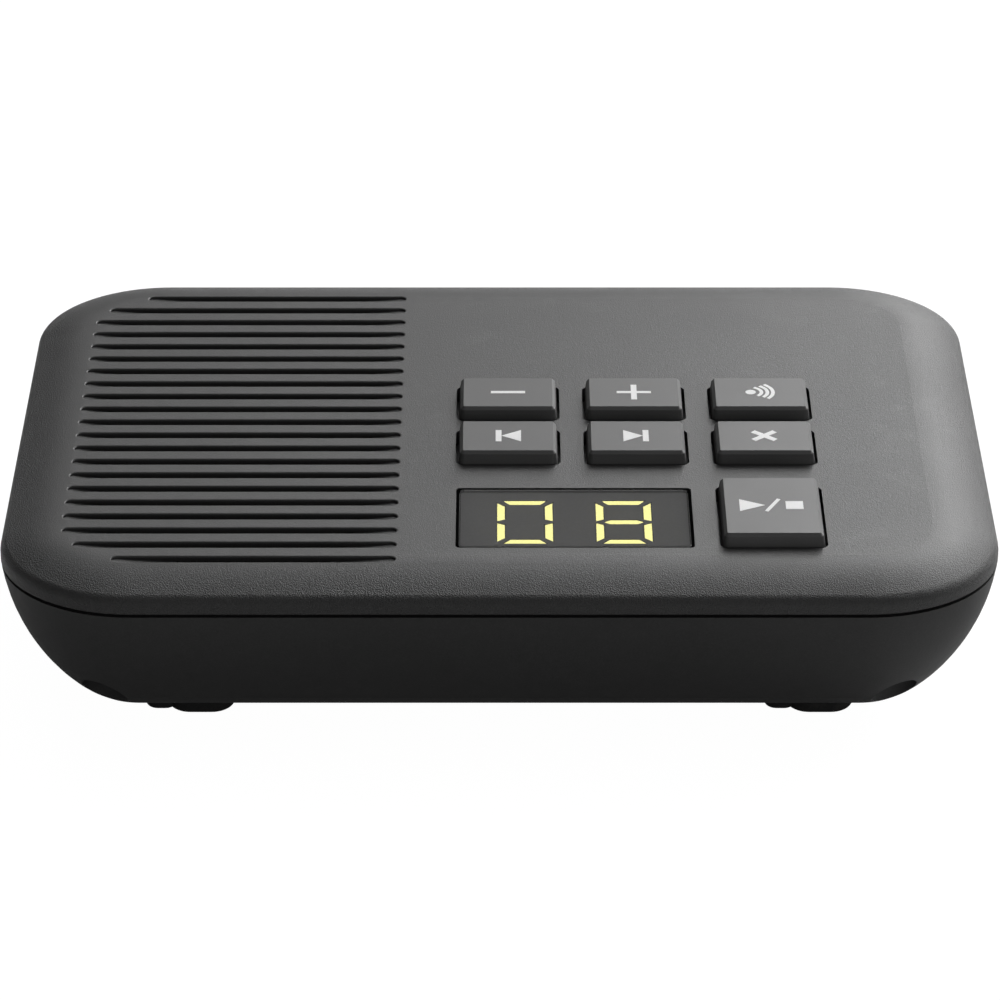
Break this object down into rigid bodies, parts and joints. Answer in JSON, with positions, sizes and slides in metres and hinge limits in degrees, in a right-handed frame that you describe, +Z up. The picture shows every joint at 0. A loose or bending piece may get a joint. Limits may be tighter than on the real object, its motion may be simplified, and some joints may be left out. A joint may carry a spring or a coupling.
{
  "type": "answering machine",
  "caption": "Low tabletop answering machine with rounded corners, a field of speaker slots, rectangular keys and a smoked window over a lit digit display.",
  "frame": {"origin": "on the table, under the middle of the case", "axes": "+X to the user's right along the long side, +Y to the rear with the sockets, +Z up"},
  "size_m": [0.128, 0.096, 0.0275],
  "materials": {
    "cover_plastic": "fine spark-eroded grain",
    "case_plastic": "fine grain",
    "key_plastic": "smooth satin",
    "lens": "polished, smoked",
    "display_face": "matt black",
    "segment_glow": "lit",
    "segment_dark": "unlit",
    "board": "solder mask",
    "gold": "plated",
    "silicone": "moulded",
    "tin": "tinned sheet",
    "black_resin": "moulded",
    "can_metal": "drawn can",
    "tape": "polyester tape",
    "socket_plastic": "moulded",
    "foam": "closed cell",
    "steel": "zinc plated",
    "magnet": "nickel plated",
    "lead_wire": "insulation",
    "cloth": "woven",
    "foot_rubber": "soft, matt",
    "paper_cone": "pressed paper",
    "copper": "enamelled winding",
    "carbon": "conductive"
  },
  "bodies": {
    "housing": {"top_cover": "cover_plastic", "bottom_case": "case_plastic", "display_lens": "lens", "display_module": "display_face", "lit_segments": "segment_glow", "dark_segment": "segment_dark", "key_board": "board", "main_board": "board", "contact_pads": "gold", "keypad_mat": "silicone", "shield_can": "tin", "chips": "black_resin", "capacitors": "can_metal", "line_transformer": "tape", "line_relay": "black_resin", "crystal": "can_metal", "board_link": "black_resin", "aerial_left": "tin", "aerial_right": "tin", "line_socket": "socket_plastic", "line_contacts": "gold", "power_socket": "socket_plastic", "power_contacts": "gold", "speaker_gasket": "foam", "speaker_frame": "steel", "speaker_magnet": "magnet", "speaker_yoke": "steel", "speaker_pole": "steel", "speaker_tag": "board", "speaker_leads": "lead_wire", "speaker_screws": "steel", "speaker_clamps": "steel", "grille_cloth": "cloth", "case_screws": "steel", "main_board_screws": "steel", "key_board_screws": "steel", "foot_front_left": "foot_rubber", "foot_front_right": "foot_rubber", "foot_rear_left": "foot_rubber", "foot_rear_right": "foot_rubber", "cone_surround": "foam", "coil_spider": "cloth"},
    "minus_key": {"minus_key": "key_plastic", "minus_pill": "carbon"},
    "plus_key": {"plus_key": "key_plastic", "plus_pill": "carbon"},
    "paging_key": {"paging_key": "key_plastic", "paging_pill": "carbon"},
    "back_key": {"back_key": "key_plastic", "back_pill": "carbon"},
    "forward_key": {"forward_key": "key_plastic", "forward_pill": "carbon"},
    "delete_key": {"delete_key": "key_plastic", "delete_pill": "carbon"},
    "play_key": {"play_key": "key_plastic", "play_pill": "carbon"},
    "cone": {"speaker_cone": "paper_cone", "dust_cap": "paper_cone", "voice_coil": "copper"}
  },
  "joints": [
    {"name": "minus_press", "type": "slide", "parent": "housing", "child": "minus_key", "axis": [0, 0, -1], "range_m": [0, 0.0009], "stiffness_N_per_m": 500, "springref_m": -0.0004, "deforming": ["keypad_mat"]},
    {"name": "plus_press", "type": "slide", "parent": "housing", "child": "plus_key", "axis": [0, 0, -1], "range_m": [0, 0.0009], "stiffness_N_per_m": 500, "springref_m": -0.0004, "deforming": ["keypad_mat"]},
    {"name": "paging_press", "type": "slide", "parent": "housing", "child": "paging_key", "axis": [0, 0, -1], "range_m": [0, 0.0009], "stiffness_N_per_m": 500, "springref_m": -0.0004, "deforming": ["keypad_mat"]},
    {"name": "back_press", "type": "slide", "parent": "housing", "child": "back_key", "axis": [0, 0, -1], "range_m": [0, 0.0009], "stiffness_N_per_m": 500, "springref_m": -0.0004, "deforming": ["keypad_mat"]},
    {"name": "forward_press", "type": "slide", "parent": "housing", "child": "forward_key", "axis": [0, 0, -1], "range_m": [0, 0.0009], "stiffness_N_per_m": 500, "springref_m": -0.0004, "deforming": ["keypad_mat"]},
    {"name": "delete_press", "type": "slide", "parent": "housing", "child": "delete_key", "axis": [0, 0, -1], "range_m": [0, 0.0009], "stiffness_N_per_m": 500, "springref_m": -0.0004, "deforming": ["keypad_mat"]},
    {"name": "play_press", "type": "slide", "parent": "housing", "child": "play_key", "axis": [0, 0, -1], "range_m": [0, 0.0009], "stiffness_N_per_m": 500, "springref_m": -0.0004, "deforming": ["keypad_mat"]},
    {"name": "cone_stroke", "type": "slide", "parent": "housing", "child": "cone", "axis": [0, 0, 1], "range_m": [-0.0004, 0.0004], "stiffness_N_per_m": 1200, "deforming": ["cone_surround", "coil_spider"]}
  ]
}
